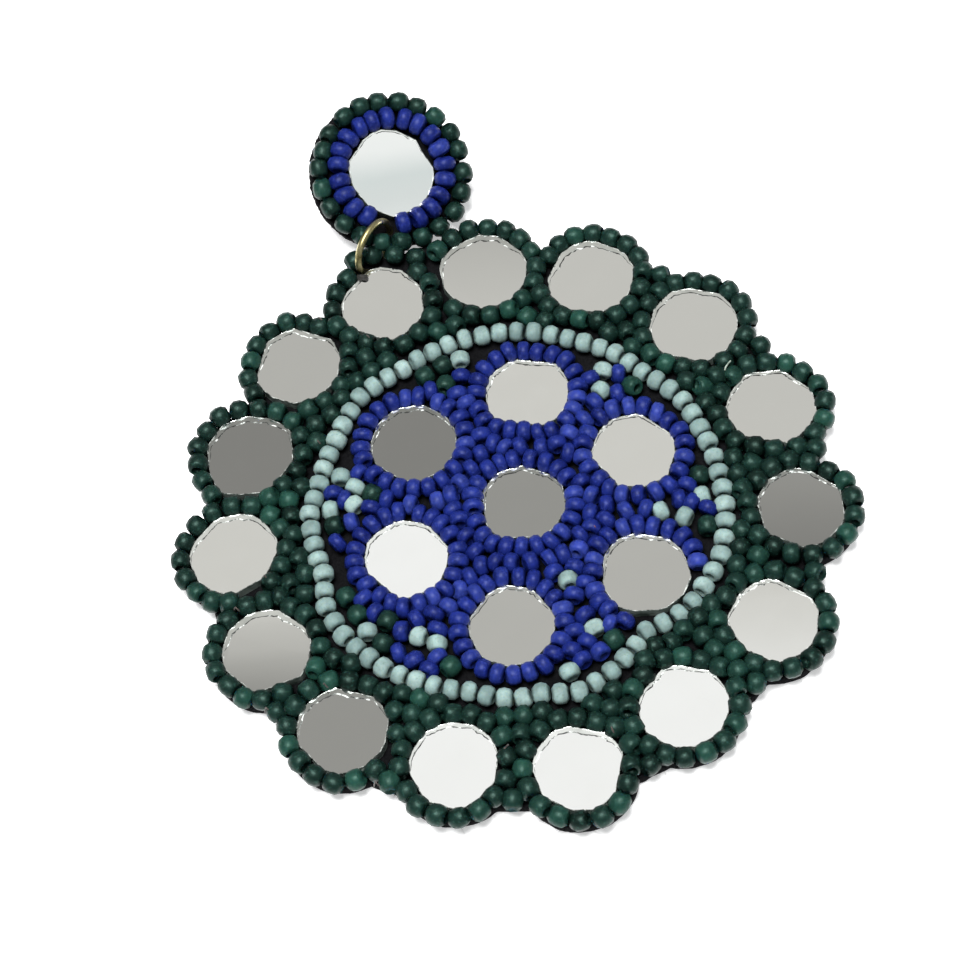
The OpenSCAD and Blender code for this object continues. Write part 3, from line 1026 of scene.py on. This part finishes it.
# the strands by the ring, part thread and part painted shade
stitchPiece("ring_tie", stitches["tieAndShade"], blackThread, stitches["tieAndShadeHigh"])
stitchPiece("brown_stitches", stitches["brown"], brownThread)
stitchPiece("pale_stitches", stitches["pale"], paleThread)
print("thread sewn")


jumpRing = {
    "at": (2.35, 34.13, 3.24), "lean": 85.8, "turn": -60.2, "radius": 2.8, "wire": 0.72,
    "seamAt": 330, "seam": 1.2, "turns": 96, "sides": 16,
    "seamRound": 0.93,  # share of the wire's thickness at its cut ends
}


def ringPiece():
    # round wire bent to a ring, with its two cut ends meeting at a butt seam
    place = placed(jumpRing["at"], jumpRing["turn"], jumpRing["lean"], "Y")
    turns, sides = jumpRing["turns"], jumpRing["sides"]
    points = []
    for i in range(turns + 1):
        a = math.radians(jumpRing["seamAt"] + jumpRing["seam"] / 2 + (360 - jumpRing["seam"]) * i / turns)
        thick = jumpRing["wire"] / 2 * (jumpRing["seamRound"] if i in (0, turns) else 1.0)
        for c, s in circle(sides):
            reach = jumpRing["radius"] + thick * c
            points.append((reach * math.cos(a), reach * math.sin(a), thick * s))
    faces = [tuple(reversed(f)) for f in tubeFaces(sides, turns + 1)]
    thing = turnedMesh("brass_ring", points, faces, place=place)
    ridePiece(thing, antiqueBrass, "antique_brass", "jump_ring")


ringPiece()

post = {"up": 5.2, "pad": 4.6, "padThick": 0.5, "wire": 0.8, "length": 6.6, "gap": 0.02, "around": 32}


def postPiece():
    # pad, fillet, pin with the groove that holds an ear nut, and a rounded tip, as one turned shape
    pin, pad, thick, deep = post["wire"] / 2, post["pad"] / 2, post["padThick"], post["length"]
    # steps of its profile as (radius, depth behind the stud), with their small roundings in millimetres
    profile = [
        (0.0, 0.0), (pad - 0.08, 0.0), (pad, 0.08), (pad, thick - 0.14), (pad - 0.12, thick),
        (pin + 0.32, thick + 0.02), (pin + 0.1, thick + 0.1), (pin, thick + 0.3),
        (pin, deep - 1.75), (pin - 0.09, deep - 1.6), (pin - 0.09, deep - 1.35), (pin, deep - 1.2),
        (pin, deep - 0.35), (pin * 0.72, deep - 0.1), (pin * 0.3, deep), (0.0, deep),
    ]
    around = post["around"]
    points = [(0, post["up"], -post["gap"])]
    for r, down in profile[1:-1]:
        points += [(r * c, post["up"] + r * s, -post["gap"] - down) for c, s in circle(around)]
    points.append((0, post["up"], -post["gap"] - deep))
    rings = len(profile) - 2
    faces = []
    for i in range(around):
        j = (i + 1) % around
        faces.append((0, 1 + i, 1 + j))
        faces.append((len(points) - 1, 1 + (rings - 1) * around + j, 1 + (rings - 1) * around + i))
        for r in range(rings - 1):
            low = 1 + r * around
            faces.append((low + i, low + around + i, low + around + j, low + j))
    thing = turnedMesh("post_piece", points, faces, place=studPlace)
    ridePiece(thing, postSteel, "post_steel", "ear_post")


postPiece()
print("ring and post made")


def studioFloor():
    far, low = studio["floor"], -studio["floorDrop"]
    corners = [(-far, -far, low), (far, -far, low), (far, far, low), (-far, far, low)]
    thing = turnedMesh("floor", corners, [(0, 1, 2, 3)])
    material = newMaterial("paleFloor", Roughness=0.9, Base_Color=(0.95, 0.95, 0.95, 1),
                           Emission_Color=(1, 1, 1, 1), Emission_Strength=0.4)[0]
    thing.data.materials.append(material)


def bandLight(shown):
    # the light that a silvered glass shows as this brightness, a little warm where it is dim
    light = (((shown + 0.055) / 1.055) ** 2.4) / studio["silver"] / studio["strength"]
    return tuple(light * c for c in studio["warm"]) if light < studio["warmBelow"] else (light, light, light)


def studioWorld():
    # a soft white studio whose far side falls off from bright to dark in bands
    world = bpy.data.worlds.new("studio")
    bpy.context.scene.world = world
    world.use_nodes = True
    tree = world.node_tree
    back = tree.nodes["Background"]
    way = tree.nodes.new("ShaderNodeTexCoord")
    split = tree.nodes.new("ShaderNodeSeparateXYZ")
    sideways = addNode(tree, "ShaderNodeMath", operation="DIVIDE")
    ahead = addNode(tree, "ShaderNodeMath", operation="DIVIDE")
    low, high = studio["span"]
    fadeStart, fadeEnd = studio["fade"]
    along = addNode(tree, "ShaderNodeMapRange", inputs={"From Min": low, "From Max": high})
    beside = addNode(tree, "ShaderNodeMath", operation="SUBTRACT", inputs={1: studio["middle"]})
    size = addNode(tree, "ShaderNodeMath", operation="ABSOLUTE")
    mask = addNode(tree, "ShaderNodeMapRange", interpolation_type="SMOOTHSTEP",
                   inputs={"From Min": fadeStart, "From Max": fadeEnd})
    wire(
        tree,
        [way, "Generated", split, 0], [split, "X", sideways, 0], [split, "Z", sideways, 1],
        [split, "Y", ahead, 0], [split, "Z", ahead, 1], [ahead, 0, along, "Value"], [sideways, 0, beside, 0],
        [beside, 0, size, 0], [size, 0, mask, "Value"],
    )
    bands = [[slope, bandLight(shown)] for slope, shown in studio["bands"]]
    stops = [((s - low) / (high - low), colour) for s, colour in studio["before"] + bands + studio["after"]]
    bands = colourRamp(tree, along.outputs["Result"], stops)
    tree.links.new(mixColours(tree, mask.outputs["Result"], bands, studio["beside"]), back.inputs["Color"])
    back.inputs["Strength"].default_value = studio["strength"]


def topLight():
    # a soft round lamp that looks at the middle of the disc
    data = bpy.data.lights.new("topLight", "AREA")
    data.shape = "DISK"
    data.size = studio["lampSize"]
    data.energy = studio["lampPower"]
    thing = newThing("topLight", data)
    thing.location = studio["lampAt"]
    thing.rotation_euler = (-Vector(studio["lampAt"])).to_track_quat("-Z", "Y").to_euler()


studioFloor()
studioWorld()
topLight()
bpy.context.scene.view_settings.view_transform = "Standard"
print("studio lit")
